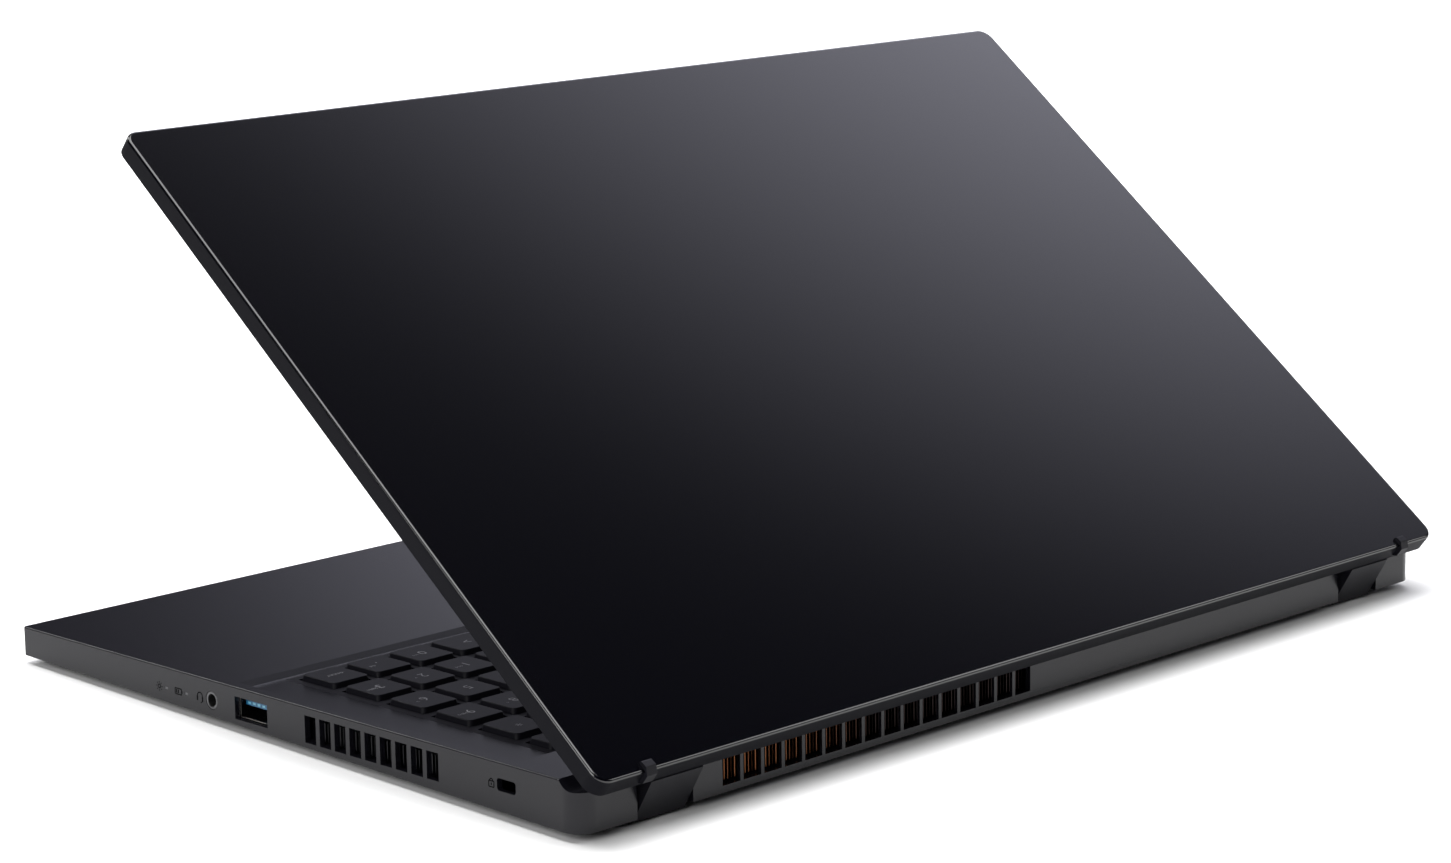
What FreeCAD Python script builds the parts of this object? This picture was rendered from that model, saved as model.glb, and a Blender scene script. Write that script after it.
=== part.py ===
import FreeCAD, Part
import Sketcher
import os
import re
from FreeCAD import Placement, Rotation, Vector

# Laptop computer, lid part open. Millimetres.
# Every piece is drawn in the deck frame: x to the right of the person typing,
# y to the rear, z up from the flat top of the base. Lid pieces are drawn shut.

doc = FreeCAD.newDocument("laptop")
sheet = doc.addObject("Spreadsheet::Sheet", "sizes")

SIZES = {
    # base outline
    "width": 362.3,
    "depth": 239.9,
    "deck_slope": 1.25,
    "rear_height": 13.85,
    "foot_height": 2.6,
    "center_shift": -4.44,
    # shells
    "wall": 1.8,
    "deck_plate": 1.6,
    "floor_edge": 0.9,
    "floor_plate": 1.6,
    "shell_fit": 0.2,
    "rear_corner": 6.0,
    "front_corner": 1.0,
    "edge_round": 0.5,
    "nose_round": 2.2,
    "scoop_radius": 5.67,
    "scoop_in": 2.45,
    "ledge_deep": 3.0,
    # lid, closed
    "axis_in": 1.95,
    "axis_z": -5.5,
    "open_angle": 38.6,
    "lid_length": 239.2,
    "lid_back": 3.38,
    "lid_inner": 6.02,
    "lid_thick": 5.7,
    "lid_skin": 1.2,
    "lid_wall": 1.5,
    "lid_step": 0.1,
    "lid_corner": 4.5,
    "lid_round": 0.9,
    "bezel_plate": 1.2,
    "bezel_fit": 0.1,
    "bezel_pad_wide": 10.0,
    "bezel_pad_lift": 0.3,
    "screen_wide": 344.2,
    "screen_tall": 193.6,
    "screen_chin": 33.5,
    "panel_wide": 351.2,
    "panel_tall": 204.5,
    "panel_chin": 27.0,
    "panel_gap": 0.15,
    "camera_in": 4.7,
    "camera_hole": 2.1,
    "camera_lens": 1.9,
    "camera_wide": 60.0,
    "camera_tall": 5.2,
    "tab_x": 162.0,
    "tab_wide": 3.5,
    "tab_in": 3.0,
    "tab_lift": 1.2,
    "tab_out": 1.3,
    "tab_round": 0.45,
    # hinges
    "notch_in": 140.9,
    "notch_wide": 20.0,
    "notch_deep": 12.35,
    "cover_gap": 0.7,
    "cover_lean": 2.3,
    "cover_deep": 8.2,
    "shaft_radius": 1.7,
    "bore_radius": 1.75,
    "knuckle_radius": 2.9,
    "knuckle_from": 6.1,
    "knuckle_wide": 7.0,
    "knuckle_room": 0.4,
    "arm_from": 14.4,
    "arm_wide": 3.9,
    "arm_radius": 3.2,
    "arm_room": 0.1,
    "bracket_thick": 1.2,
    # keyboard
    "well_deep": 1.3,
    "well_half": 175.6,
    "well_front": -19.5,
    "well_rear": 91.5,
    "well_slope": 2.2,
    "pan_under": 2.8,
    "pan_rim": 4.5,
    "row_front": -15.0,
    "row_pitch": 18.8,
    "key_deep": 15.0,
    "top_key_deep": 9.6,
    "key_left": -161.4,
    "key_pitch": 18.57,
    "key_gap": 2.8,
    "pad_left": 116.6,
    "pad_pitch": 15.8,
    "pad_gap": 2.6,
    "key_top": 0.2,
    "key_tall": 2.1,
    "key_draft": 0.35,
    "key_round": 1.5,
    "key_edge": 0.3,
    "key_clear": 0.35,
    "frame_rim": 3.0,
    "frame_rear": 2.0,
    "frame_thick": 2.2,
    "plate_thick": 0.6,
    "plate_lap_side": 3.5,
    "plate_lap": 2.5,
    # touchpad
    "touch_x": -25.0,
    "touch_wide": 120.0,
    "touch_front": -107.0,
    "touch_deep": 80.0,
    "touch_thick": 1.6,
    "touch_sink": 0.1,
    "touch_corner": 1.5,
    "touch_clear": 0.35,
    "rail_level": -2.5,
    "rail_thick": 0.5,
    # openings in the walls
    "port_clear": 0.15,
    "port_skin": 0.45,
    "port_sink": 0.3,
    "jack_y": -29.7,
    "jack_z": -5.9,
    "jack_bore": 1.8,
    "jack_nose": 2.55,
    "jack_fit": 0.1,
    "usb_wide": 14.0,
    "usb_tall": 6.2,
    "usb_y": -12.2,
    "usb_z": -6.0,
    "tongue_side": 1.3,
    "tongue_drop": 0.8,
    "tongue_thick": 1.7,
    "usb_sink": 1.9,
    "tongue_sink": 2.9,
    "side_vent_y": 11.2,
    "side_vent_wide": 4.7,
    "side_vent_pitch": 6.3,
    "side_vent_low": -10.1,
    "side_vent_high": -2.4,
    "rear_vent_x": 6.5,
    "rear_vent_wide": 6.6,
    "rear_vent_pitch": 7.8,
    "rear_vent_low": -11.9,
    "rear_vent_high": -4.0,
    "vent_wall": 1.0,
    "lock_y": 92.75,
    "lock_z": -6.0,
    "lock_wide": 7.2,
    "lock_tall": 3.4,
    "lock_round": 0.9,
    "light_y": -51.3,
    "light_step": 9.3,
    "light_wide": 1.4,
    "light_low": -6.5,
    "light_tall": 0.7,
    # fans and fins
    "fan_size": 62.0,
    "fan_y": 65.0,
    "fan_right_x": 127.0,
    "fan_middle_x": 43.0,
    "fan_top": -4.3,
    "fan_tall": 5.9,
    "fan_skin": 0.6,
    "fan_bore": 28.8,
    "fan_inlet": 16.0,
    "fan_outlet": 48.0,
    "rotor_radius": 27.6,
    "hub_radius": 11.0,
    "pin_radius": 1.0,
    "pin_room": 0.05,
    "blade_thick": 0.6,
    "fin_thick": 0.4,
    "fin_skin": 0.5,
    "fin_gap": 0.5,
    "rear_fin_top": -4.2,
    "rear_fin_low": -11.4,
    "side_fin_top": -4.3,
    "side_fin_low": -9.8,
    # boards, battery and screws
    "board_top": -4.8,
    "board_thick": 1.2,
    "board_edge": 168.5,
    "board_front": -14.0,
    "board_rear": 96.0,
    "chip_tall": 1.2,
    "spreader_thick": 1.2,
    "pipe_y": 97.0,
    "pipe_wide": 3.4,
    "pipe_step": 3.6,
    "pipe_thick": 2.0,
    "cell_top": -3.1,
    "cell_thick": 3.7,
    "cell_front": -106.5,
    "cell_deep": 76.5,
    "cell_wide": 198.0,
    "cell_x": 1.0,
    "speaker_in": 118.0,
    "speaker_wide": 44.0,
    "speaker_front": -104.0,
    "speaker_deep": 20.0,
    "speaker_low": -6.6,
    "screw_radius": 1.0,
    "screw_head": 1.9,
    "screw_head_tall": 0.8,
    "screw_sink": 0.05,
    "screw_reach": 3.6,
    "boss_wall": 0.7,
    "boss_gap": 0.15,
    "screw_side": 9.15,
    "foot_deep": 7.0,
    "rear_foot_in": 18.95,
    "rear_foot_half": 118.0,
    "front_foot_in": 7.95,
    "front_foot_from": 104.0,
    "front_foot_wide": 56.0,
    "slit_wide": 2.0,
    "slit_pitch": 4.0,
    "slit_half": 17.0,
}

for row, (name, value) in enumerate(SIZES.items(), start=1):
    sheet.set("A%d" % row, name.replace("_", " "))
    sheet.set("B%d" % row, str(value))
    sheet.setAlias("B%d" % row, name)
doc.recompute()


def size(name):
    return float(sheet.get(name))


def ex(text):
    """A length written with the words of the size sheet."""
    return re.sub(
        r"\b[a-z][a-z_]*\b",
        lambda word: "sizes." + word.group(0) if word.group(0) in SIZES else word.group(0),
        str(text),
    )


def bind(feature, **lengths):
    for name, text in lengths.items():
        feature.setExpression(name, ex(text))


def put(feature, x, y, z, turn=None):
    if turn is not None:
        feature.Placement = Placement(Vector(0, 0, 0), turn)
    feature.setExpression("Placement.Base.x", ex(x))
    feature.setExpression("Placement.Base.y", ex(y))
    feature.setExpression("Placement.Base.z", ex(z))


def body(label, group):
    made = doc.addObject("PartDesign::Body", label)
    made.Label = label
    made.AllowCompound = True
    group.append(made)
    return made


def axis_of(owner, role):
    return [item for item in owner.Origin.OriginFeatures if item.Role == role][0]


def span(pair):
    return "(%s) - (%s)" % (pair[1], pair[0])


def grown(pair, by):
    """A pair of ends moved apart by a clearance, or together by a negative one."""
    return ("%s - (%s)" % (pair[0], by), "%s + (%s)" % (pair[1], by))


def across(low, high, sign):
    """A pair of x ends on the right side, or mirrored to the left."""
    return (low, high) if sign > 0 else ("-(%s)" % high, "-(%s)" % low)


def block(owner, x, y, z, cut=False):
    kind = "PartDesign::SubtractiveBox" if cut else "PartDesign::AdditiveBox"
    made = owner.newObject(kind, "block")
    bind(made, Length=span(x), Width=span(y), Height=span(z))
    put(made, x[0], y[0], z[0])
    return made


def rod(owner, radius, x, y, z, along, cut=False):
    """A cylinder; the pair among x, y and z gives its ends."""
    kind = "PartDesign::SubtractiveCylinder" if cut else "PartDesign::AdditiveCylinder"
    made = owner.newObject(kind, "rod")
    turns = {
        "x": Rotation(Vector(0, 1, 0), 90),
        "y": Rotation(Vector(1, 0, 0), -90),
        "z": Rotation(Vector(0, 0, 1), 0),
    }
    ends = {"x": x, "y": y, "z": z}[along]
    bind(made, Radius=radius, Height=span(ends))
    start = [pair[0] if isinstance(pair, tuple) else pair for pair in (x, y, z)]
    put(made, start[0], start[1], start[2], turns[along])
    return made


def slab(owner, x, y, low, high, cut=False):
    """A block between two levels that may differ from front to rear."""
    kind = "PartDesign::SubtractiveWedge" if cut else "PartDesign::AdditiveWedge"
    made = owner.newObject(kind, "slab")
    bind(made, Xmin=x[0], Xmax=x[1], X2min=x[0], X2max=x[1], Ymin=y[0], Ymax=y[1])
    bind(made, Zmin=low[0], Zmax=high[0], Z2min=low[1], Z2max=high[1])
    return made


def tapered(owner, x, y, z, inset, cut=False):
    """A block whose upper face is smaller all round by the inset."""
    kind = "PartDesign::SubtractiveWedge" if cut else "PartDesign::AdditiveWedge"
    made = owner.newObject(kind, "tapered")
    made.Placement = Placement(Vector(0, 0, 0), Rotation(Vector(1, 0, 0), 90))
    bind(made, Ymin=z[0], Ymax=z[1], Xmin=x[0], Xmax=x[1])
    bind(made, Zmin="-(%s)" % y[1], Zmax="-(%s)" % y[0])
    bind(made, X2min="(%s) + (%s)" % (x[0], inset), X2max="(%s) - (%s)" % (x[1], inset))
    bind(made, Z2min="-(%s) + (%s)" % (y[1], inset), Z2max="-(%s) - (%s)" % (y[0], inset))
    return made


def rounded_pocket(owner, x, y, z, radius):
    """A pocket with rounded plan corners."""
    inner_x = grown(x, "-(%s)" % radius)
    inner_y = grown(y, "-(%s)" % radius)
    block(owner, x, inner_y, z, cut=True)
    block(owner, inner_x, y, z, cut=True)
    for corner_x in inner_x:
        for corner_y in inner_y:
            rod(owner, radius, corner_x, corner_y, z, "z", cut=True)


def repeat(owner, feature, role, length, count):
    made = owner.newObject("PartDesign::LinearPattern", "repeat")
    made.Originals = [feature]
    made.Direction = (axis_of(owner, role), [""])
    bind(made, Length=length)
    made.Occurrences = count
    owner.Tip = made
    return made


def ring_of(owner, feature, count):
    made = owner.newObject("PartDesign::PolarPattern", "ring")
    made.Originals = [feature]
    made.Axis = (axis_of(owner, "Z_Axis"), [""])
    made.Angle = 360
    made.Occurrences = count
    owner.Tip = made
    return made


def mirror(owner, features):
    made = owner.newObject("PartDesign::Mirrored", "mirror")
    made.Originals = features
    made.MirrorPlane = (axis_of(owner, "YZ_Plane"), [""])
    owner.Tip = made
    return made


def round_edges(owner, radius, pick):
    doc.recompute()
    tip = owner.Tip
    names = ["Edge%d" % n for n, edge in enumerate(tip.Shape.Edges, start=1) if pick(edge)]
    made = owner.newObject("PartDesign::Fillet", "rounding")
    made.Base = (tip, names)
    bind(made, Radius=radius)
    return made


def value_of(word):
    if word.startswith("-"):
        return -value_of(word[1:])
    return size(word) if word in SIZES else float(word)


def total(text):
    """Value of a plain sum of sizes and numbers, where a term may be a product."""
    result = 0.0
    term = 0.0
    sign = 1
    action = "first"
    for word in text.split():
        if word in ("+", "-"):
            result += term
            sign = 1 if word == "+" else -1
            action = "first"
        elif word in ("*", "/"):
            action = word
        elif action == "*":
            term *= value_of(word)
        elif action == "/":
            term /= value_of(word)
        else:
            term = sign * value_of(word)
    return result + term


def prism(owner, points, x):
    """A section drawn in y and z and drawn out along x."""
    sketch = owner.newObject("Sketcher::SketchObject", "section")
    sketch.AttachmentSupport = [(axis_of(owner, "YZ_Plane"), "")]
    sketch.MapMode = "FlatFace"
    sketch.setExpression("AttachmentOffset.Base.z", ex(x[0]))
    places = [Vector(total(y_text), total(z_text), 0) for y_text, z_text in points]
    count = len(places)
    for n in range(count):
        sketch.addGeometry(Part.LineSegment(places[n], places[(n + 1) % count]), False)
    for n in range(count):
        sketch.addConstraint(Sketcher.Constraint("Coincident", n, 2, (n + 1) % count, 1))
    for n, (y_text, z_text) in enumerate(points):
        made = sketch.addConstraint(Sketcher.Constraint("DistanceX", -1, 1, n, 1, places[n].x))
        sketch.setExpression("Constraints[%d]" % made, ex(y_text))
        made = sketch.addConstraint(Sketcher.Constraint("DistanceY", -1, 1, n, 1, places[n].y))
        sketch.setExpression("Constraints[%d]" % made, ex(z_text))
    doc.recompute()
    made = owner.newObject("PartDesign::Pad", "drawn")
    made.Profile = sketch
    bind(made, Length=span(x))
    return made


def on_z(level):
    return lambda edge: edge.BoundBox.ZLength < 1e-4 and abs(edge.BoundBox.ZMin - level) < 1e-4


def upright(edge):
    box = edge.BoundBox
    return box.XLength < 1e-4 and box.YLength < 1e-4 and box.ZLength > 0.2


BASE = []
LID = []
ROTORS = []

OVER = "1"
BELOW = "-40"
HALF_X = ("-width / 2", "width / 2")
HALF_Y = ("-depth / 2", "depth / 2")
AXIS_Y = "depth / 2 - axis_in"
NOTCH_FRONT = "depth / 2 - notch_deep"
NOTCH_X = ("notch_in", "notch_in + notch_wide")
NOTCH_Y = (NOTCH_FRONT, "depth / 2 + 1")
RIGHT_WALL = ("width / 2 - wall - 1", "width / 2 + 1")
LEFT_WALL = ("-width / 2 - 1", "-width / 2 + wall + 1")
REAR_WALL = ("depth / 2 - wall - 1", "depth / 2 + 1")
TOP_ROW = "row_front + 5 * row_pitch"
KEYS_X = ("key_left", "pad_left + 3 * pad_pitch - pad_gap")
KEYS_Y = ("row_front", TOP_ROW + " + top_key_deep")
FRAME_X = grown(KEYS_X, "frame_rim")
FRAME_Y = (KEYS_Y[0] + " - frame_rim", KEYS_Y[1] + " + frame_rear")


def floor_at(y):
    """Level of the flat underside below a place on the deck."""
    return "(-rear_height + (depth / 2 - (%s)) * tan(deck_slope))" % y


def level_pair(y, offset):
    return tuple("%s + (%s)" % (floor_at(place), offset) for place in y)


def corner_rounds(owner):
    """Rounded plan corners, large at the rear and small at the front."""
    front = -size("depth") / 2 + 0.01
    round_edges(owner, "rear_corner", lambda e: upright(e) and e.BoundBox.YMin > 0)
    round_edges(owner, "front_corner", lambda e: upright(e) and e.BoundBox.YMin < front)


# Screws that hold the underside: places on the deck plan.
SCREWS = [
    ("-width / 2 + screw_side", "-depth / 2 + 9.95"),
    ("width / 2 - screw_side", "-depth / 2 + 9.95"),
    ("-width / 2 + screw_side", "-62"),
    ("width / 2 - screw_side", "-62"),
    ("-60", "-depth / 2 + 6.55"),
    ("60", "-depth / 2 + 6.55"),
    ("-width / 2 + screw_side", "depth / 2 - 21.95"),
    ("width / 2 - screw_side", "depth / 2 - 21.95"),
    ("-70", "depth / 2 - 7.95"),
]

# Key layout. Rows run from the front row to the small top row, in key units.
MAIN_ROWS = [
    ("modifier_keys", [1.25, 1, 1, 1.25, 5.5, 1, 1, 1, 1, 1]),
    ("lower_letter_keys", [1.75] + [1] * 10 + [1.25, 1, 1]),
    ("home_letter_keys", [1.75] + [1] * 11 + [2.25]),
    ("upper_letter_keys", [1.5] + [1] * 12 + [1.5]),
    ("number_keys", [1] * 13 + [2]),
    ("function_keys", [1] * 15),
]
# Keys that move by themselves or in another group: row, place in the row.
OWN_GROUP = {
    (0, 4): "space_bar",
    (0, 7): "arrow_keys",
    (0, 8): "arrow_keys",
    (0, 9): "arrow_keys",
    (1, 12): "arrow_keys",
    (2, 12): "enter_key",
    (4, 13): "backspace_key",
}
KEY_PLACES = {}


def row_span(row):
    front = "row_front + %d * row_pitch" % row
    deep = "top_key_deep" if row == 5 else "key_deep"
    return (front, "%s + %s" % (front, deep))


def note_key(group, x, y):
    KEY_PLACES.setdefault(group, []).append((x, y))


for row, (row_group, widths) in enumerate(MAIN_ROWS):
    unit = 0.0
    for n, wide in enumerate(widths):
        left = "key_left + %g * key_pitch" % unit
        unit += wide
        right = "key_left + %g * key_pitch - key_gap" % unit
        note_key(OWN_GROUP.get((row, n), row_group), (left, right), row_span(row))
for row in range(6):
    for column in range(3):
        left = "pad_left + %d * pad_pitch" % column
        right = "pad_left + %d * pad_pitch - pad_gap" % (column + 1)
        group = "number_pad_keys"
        if row == 5:
            group = "function_keys" if column < 2 else "power_button"
        note_key(group, (left, right), row_span(row))

# Left side sockets, rear to front: y from, y to, z from, z to.
LEFT_PORTS = {
    "power_inlet": (84.5, 93.5, -9.8, -3.0),
    "network_port": (65.5, 81.5, -11.0, -3.0),
    "video_port": (46.5, 61.8, -9.0, -3.0),
    "usb_rear": (28.0, 42.0, -9.1, -2.9),
    "usb_front": (10.0, 24.0, -9.1, -2.9),
    "reversible_port": (-4.0, 5.2, -7.7, -4.3),
}


def port_span(name):
    y_low, y_high, z_low, z_high = LEFT_PORTS[name]
    return (str(y_low), str(y_high)), (str(z_low), str(z_high))


USB_Y = ("usb_y - usb_wide / 2", "usb_y + usb_wide / 2")
USB_Z = ("usb_z - usb_tall / 2", "usb_z + usb_tall / 2")
LOCK_Y = ("lock_y - lock_wide / 2", "lock_y + lock_wide / 2")
LOCK_Z = ("lock_z - lock_tall / 2", "lock_z + lock_tall / 2")
LIGHTS = [
    ("light_y", "light_y + light_wide"),
    ("light_y + light_step", "light_y + light_step + light_wide"),
]
LIGHT_Z = ("light_low", "light_low + light_tall")
PAD_X = ("touch_x - touch_wide / 2", "touch_x + touch_wide / 2")
PAD_Y = ("touch_front", "touch_front + touch_deep")

# Upper case: deck, side walls, keyboard well and the solid rear corners.
case = body("upper_case", BASE)
slab(case, HALF_X, HALF_Y, level_pair(HALF_Y, "floor_edge"), ("0", "0"))
corner_rounds(case)
corner_x = ("notch_in + notch_wide - 0.5", "width / 2 + 1")
scoop_y = "depth / 2 - scoop_in"
notch = block(case, NOTCH_X, NOTCH_Y, (BELOW, OVER), cut=True)
scoop = rod(case, "scoop_radius", corner_x, scoop_y, "scoop_radius - ledge_deep", "x", cut=True)
ledge = block(case, corner_x, (scoop_y, "depth / 2 + 1"), ("-ledge_deep", OVER), cut=True)
mirror(case, [notch, scoop, ledge])
deck_edge = on_z(0)
rear_line = size("depth") / 2 - 0.01
side_line = size("width") / 2 - 0.01


def long_deck_edge(edge):
    box = edge.BoundBox
    beside = abs(box.XMin) > side_line and abs(box.XMax) > side_line
    return deck_edge(edge) and box.YMin < 0 and (box.XLength > size("width") * 0.8 or beside)


round_edges(case, "nose_round", lambda e: deck_edge(e) and e.BoundBox.YMin > rear_line)
round_edges(case, "edge_round", long_deck_edge)
front_room = ("-depth / 2 + wall", NOTCH_FRONT + " - 2.7")
rear_room = (NOTCH_FRONT + " - 4", "depth / 2 - wall")
block(case, grown(HALF_X, "-wall"), front_room, (BELOW, "-deck_plate"), cut=True)
block(case, ("-notch_in + wall", "notch_in - wall"), rear_room, (BELOW, "-deck_plate"), cut=True)
block(case, grown(HALF_X, "-wall / 2"), grown(("well_front", "well_rear"), "pan_rim"),
      ("-pan_under", "-deck_plate / 2"))
for x, y in SCREWS:
    boss_foot = "%s + floor_plate + boss_gap" % floor_at(y)
    rod(case, "screw_head + boss_wall", x, y, (boss_foot, "-deck_plate / 2"), "z")
tapered(case, ("-well_half", "well_half"), ("well_front", "well_rear"),
        ("-well_deep", "well_deep"), "-2 * well_slope", cut=True)
block(case, FRAME_X, FRAME_Y, ("-5", OVER), cut=True)
block(case, grown(PAD_X, "touch_clear"), grown(PAD_Y, "touch_clear"), ("-5", OVER), cut=True)
slot_x = ("notch_in + knuckle_from - knuckle_room",
          "notch_in + knuckle_from + knuckle_wide + knuckle_room")
slot = block(case, slot_x, (NOTCH_FRONT + " - 4.2", NOTCH_FRONT + " + 0.5"),
             ("-deck_plate - bracket_thick - 0.1", "-deck_plate"), cut=True)
mirror(case, [slot])
rod(case, "jack_nose + jack_fit", RIGHT_WALL, "jack_y", "jack_z", "x", cut=True)
block(case, RIGHT_WALL, grown(USB_Y, "port_clear"), grown(USB_Z, "port_clear"), cut=True)
block(case, RIGHT_WALL, LOCK_Y, grown(LOCK_Z, "-lock_round"), cut=True)
block(case, RIGHT_WALL, grown(LOCK_Y, "-lock_round"), LOCK_Z, cut=True)
for y in grown(LOCK_Y, "-lock_round"):
    for z in grown(LOCK_Z, "-lock_round"):
        rod(case, "lock_round", RIGHT_WALL, y, z, "x", cut=True)
vent = block(case, RIGHT_WALL, ("side_vent_y", "side_vent_y + side_vent_wide"),
             ("side_vent_low", "side_vent_high"), cut=True)
repeat(case, vent, "Y_Axis", "8 * side_vent_pitch", 9)
vent = block(case, ("rear_vent_x", "rear_vent_x + rear_vent_wide"), REAR_WALL,
             ("rear_vent_low", "rear_vent_high"), cut=True)
repeat(case, vent, "X_Axis", "15 * rear_vent_pitch", 16)
block(case, ("rear_vent_x", "rear_vent_x + 15 * rear_vent_pitch + rear_vent_wide"),
      ("depth / 2 - wall - 1", "depth / 2 - vent_wall"), ("rear_vent_low", "rear_vent_high"), cut=True)
for light_span in LIGHTS:
    block(case, RIGHT_WALL, light_span, LIGHT_Z, cut=True)
for name in LEFT_PORTS:
    y, z = port_span(name)
    block(case, LEFT_WALL, grown(y, "port_clear"), grown(z, "port_clear"), cut=True)
for x, y in SCREWS:
    tip = "%s + floor_plate + screw_reach" % floor_at(y)
    rod(case, "screw_radius", x, y, (BELOW, tip), "z", cut=True)

# Bottom case: flat tray with intake slots below both fans.
tray = body("bottom_case", BASE)
slab(tray, HALF_X, HALF_Y, level_pair(HALF_Y, "0"), level_pair(HALF_Y, "floor_edge"))
corner_rounds(tray)
inner_y = ("-depth / 2 + wall + shell_fit", NOTCH_FRONT + " - 2.7 - shell_fit")
slab(tray, grown(HALF_X, "-wall - shell_fit"), inner_y,
     level_pair(inner_y, "floor_edge / 2"), level_pair(inner_y, "floor_plate"))
inner_y = (NOTCH_FRONT + " - 4", "depth / 2 - wall - shell_fit")
slab(tray, ("-notch_in + wall + shell_fit", "notch_in - wall - shell_fit"), inner_y,
     level_pair(inner_y, "floor_edge / 2"), level_pair(inner_y, "floor_plate"))
notch = block(tray, NOTCH_X, NOTCH_Y, (BELOW, OVER), cut=True)
mirror(tray, [notch])
for x, y in SCREWS:
    head_top = "%s + screw_sink + screw_head_tall" % floor_at(y)
    rod(tray, "screw_radius + boss_gap", x, y, (BELOW, "0"), "z", cut=True)
    rod(tray, "screw_head + 0.1", x, y, (BELOW, head_top), "z", cut=True)
for x in ("fan_right_x", "fan_middle_x"):
    slit_x = (x + " - slit_half", x + " + slit_half")
    slit_y = ("fan_y - slit_half", "fan_y - slit_half + slit_wide")
    slit = block(tray, slit_x, slit_y, (BELOW, "0"), cut=True)
    repeat(tray, slit, "Y_Axis", "8 * slit_pitch", 9)

# Rubber feet: a long rear strip and two front strips.
feet = body("rubber_feet", BASE)
rear_strip = ("depth / 2 - rear_foot_in - foot_deep", "depth / 2 - rear_foot_in")
front_strip = ("-depth / 2 + front_foot_in", "-depth / 2 + front_foot_in + foot_deep")
strips = [(("-rear_foot_half", "rear_foot_half"), rear_strip)]
for sign in (1, -1):
    strips.append((across("front_foot_from", "front_foot_from + front_foot_wide", sign), front_strip))
for x, y in strips:
    slab(feet, x, y, level_pair(y, "-foot_height"), level_pair(y, "0"))

# Screws of the underside.
screws = body("bottom_screws", BASE)
for x, y in SCREWS:
    head_foot = "%s + screw_sink" % floor_at(y)
    shank_foot = head_foot + " + screw_head_tall - 0.05"
    rod(screws, "screw_radius", x, y, (shank_foot, "%s + floor_plate + screw_reach" % floor_at(y)), "z")
    rod(screws, "screw_head", x, y, (head_foot, head_foot + " + screw_head_tall"), "z")

# Keys: tapered caps, one body for each group that the layout names.
for group, places in KEY_PLACES.items():
    keys = body(group, BASE)
    for x, y in places:
        tapered(keys, x, y, ("key_top - key_tall", "key_top"), "key_draft")
    round_edges(keys, "key_round", lambda e: e.BoundBox.ZLength > size("key_tall") - 0.01)
    round_edges(keys, "key_edge", on_z(size("key_top")))


# Keyboard frame with one opening for each key, and the steel plate below it.
def loose_box(x, y, z):
    made = doc.addObject("Part::Box", "opening")
    bind(made, Length=span(x), Width=span(y), Height=span(z))
    put(made, x[0], y[0], z[0])
    return made


openings = doc.addObject("Part::Compound", "key_openings")
openings.Links = [
    loose_box(grown(x, "key_clear"), grown(y, "key_clear"), ("-5", OVER))
    for places in KEY_PLACES.values()
    for x, y in places
]
grid = doc.addObject("Part::Cut", "keyboard_frame")
grid.Label = "keyboard_frame"
grid.Base = loose_box(FRAME_X, FRAME_Y, ("-well_deep - frame_thick", "-well_deep"))
grid.Tool = openings
BASE.append(grid)
plate = body("keyboard_plate", BASE)
plate_top = "-well_deep - frame_thick"
block(plate, grown(FRAME_X, "plate_lap_side"), grown(FRAME_Y, "plate_lap"),
      (plate_top + " - plate_thick", plate_top))

# Touchpad plate and the bracket that carries it.
pad = body("touchpad", BASE)
block(pad, PAD_X, PAD_Y, ("-touch_sink - touch_thick", "-touch_sink"))
round_edges(pad, "touch_corner", upright)
rails = body("touchpad_bracket", BASE)
rail_y = (PAD_Y[0] + " - 3", PAD_Y[1] + " + 2")
block(rails, grown(PAD_X, "5"), rail_y, ("rail_level - rail_thick", "rail_level"))
for x in ((PAD_X[0] + " - 5", PAD_X[0] + " - 1.5"), (PAD_X[1] + " + 1.5", PAD_X[1] + " + 5")):
    block(rails, x, rail_y, ("rail_level - 0.1", "-deck_plate"))
block(rails, grown(PAD_X, "-2"), (PAD_Y[1] + " - 3", PAD_Y[1] + " - 1"),
      ("rail_level - 0.1", "-touch_sink - touch_thick - 0.1"))

# Hinge brackets of the base: plate below the deck, gooseneck and knuckle.
under_deck = ("-deck_plate - bracket_thick", "-deck_plate")
for side, sign in (("right", 1), ("left", -1)):
    steel = body("hinge_bracket_" + side, BASE)
    knuckle_end = "notch_in + knuckle_from + knuckle_wide"
    neck_x = across("notch_in + knuckle_from", knuckle_end, sign)
    block(steel, across("notch_in - 20", knuckle_end, sign),
          ("well_rear + 5", NOTCH_FRONT + " - 3.4"), under_deck)
    block(steel, neck_x, ("well_rear + 6", AXIS_Y + " - 5.6"), under_deck)
    prism(steel, [
        (AXIS_Y + " - 6", "-deck_plate"),
        (AXIS_Y + " - 4.6", "-deck_plate"),
        (AXIS_Y + " - 0.7", "axis_z + 2.1"),
        (AXIS_Y + " - 1.8", "axis_z"),
        (AXIS_Y + " - 5.4", "-deck_plate - bracket_thick"),
        (AXIS_Y + " - 6", "-deck_plate - bracket_thick"),
    ], neck_x)
    rod(steel, "knuckle_radius", neck_x, AXIS_Y, "axis_z", "x")
    rod(steel, "bore_radius", across("notch_in", "notch_in + notch_wide", sign),
        AXIS_Y, "axis_z", "x", cut=True)

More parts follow.
